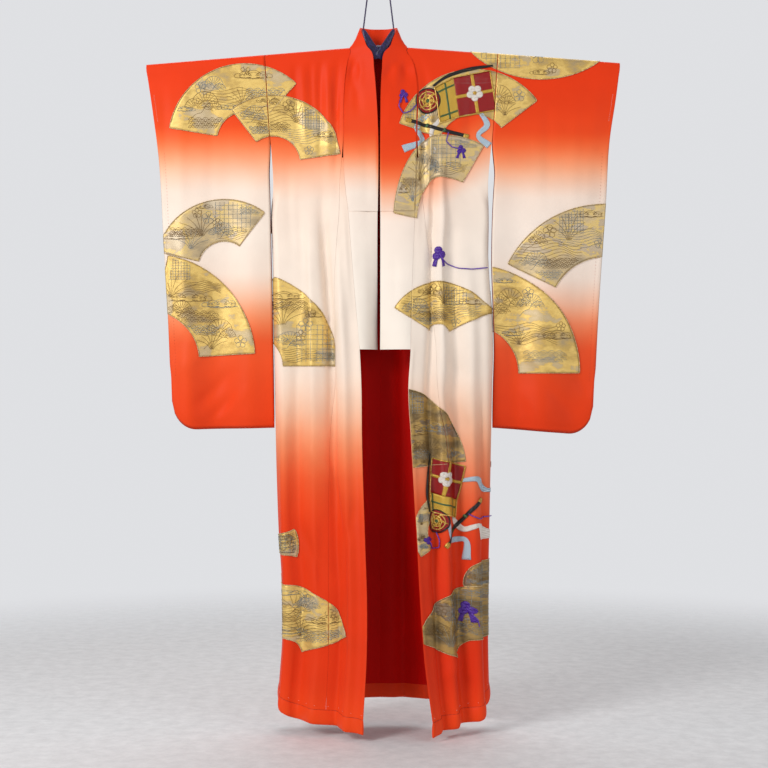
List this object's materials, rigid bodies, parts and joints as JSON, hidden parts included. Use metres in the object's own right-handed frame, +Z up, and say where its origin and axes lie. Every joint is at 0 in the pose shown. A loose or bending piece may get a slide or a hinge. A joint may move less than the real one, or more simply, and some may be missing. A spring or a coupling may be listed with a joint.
{
  "type": "long-sleeved kimono on a bar hanger",
  "caption": "Long-sleeved kimono with a padded trailing hem, hung open on a wooden bar hanger with a padded neck yoke, cords and a steel ring.",
  "frame": {"origin": "inside the apex of the hanger's steel triangle, where a hook carries it, over the middle of the bar", "axes": "+Z up; the front faces -Y; +X towards the wearer's left sleeve"},
  "size_m": [1.3472, 0.245, 2.1534],
  "materials": {
    "dyed_silk": "heavy crepe silk, dyed orange red fading to cream, with gold brocade fans",
    "collar_silk": "crepe silk, orange red at the neck fading to cream",
    "lining_silk": "plain red silk",
    "padded_hem": "orange red crepe silk over cotton wadding",
    "bar_wood": "dark varnished wood",
    "yoke_cloth": "padded navy cloth",
    "hanger_cord": "braided dark purple cord",
    "ring_steel": "bent steel wire"
  },
  "bodies": {
    "root": {"body_left": "dyed_silk", "body_right": "dyed_silk", "okumi_left": "dyed_silk", "okumi_right": "dyed_silk", "sleeve_left": "dyed_silk", "sleeve_right": "dyed_silk", "collar": "collar_silk", "over_collar": "collar_silk", "lining_left": "lining_silk", "lining_right": "lining_silk", "hem_left": "padded_hem", "hem_right": "padded_hem", "hanger_bar": "bar_wood", "hanger_yoke": "yoke_cloth", "cord_left": "hanger_cord", "cord_right": "hanger_cord", "knot_left": "hanger_cord", "knot_right": "hanger_cord", "hang_ring": "ring_steel"}
  },
  "joints": []
}
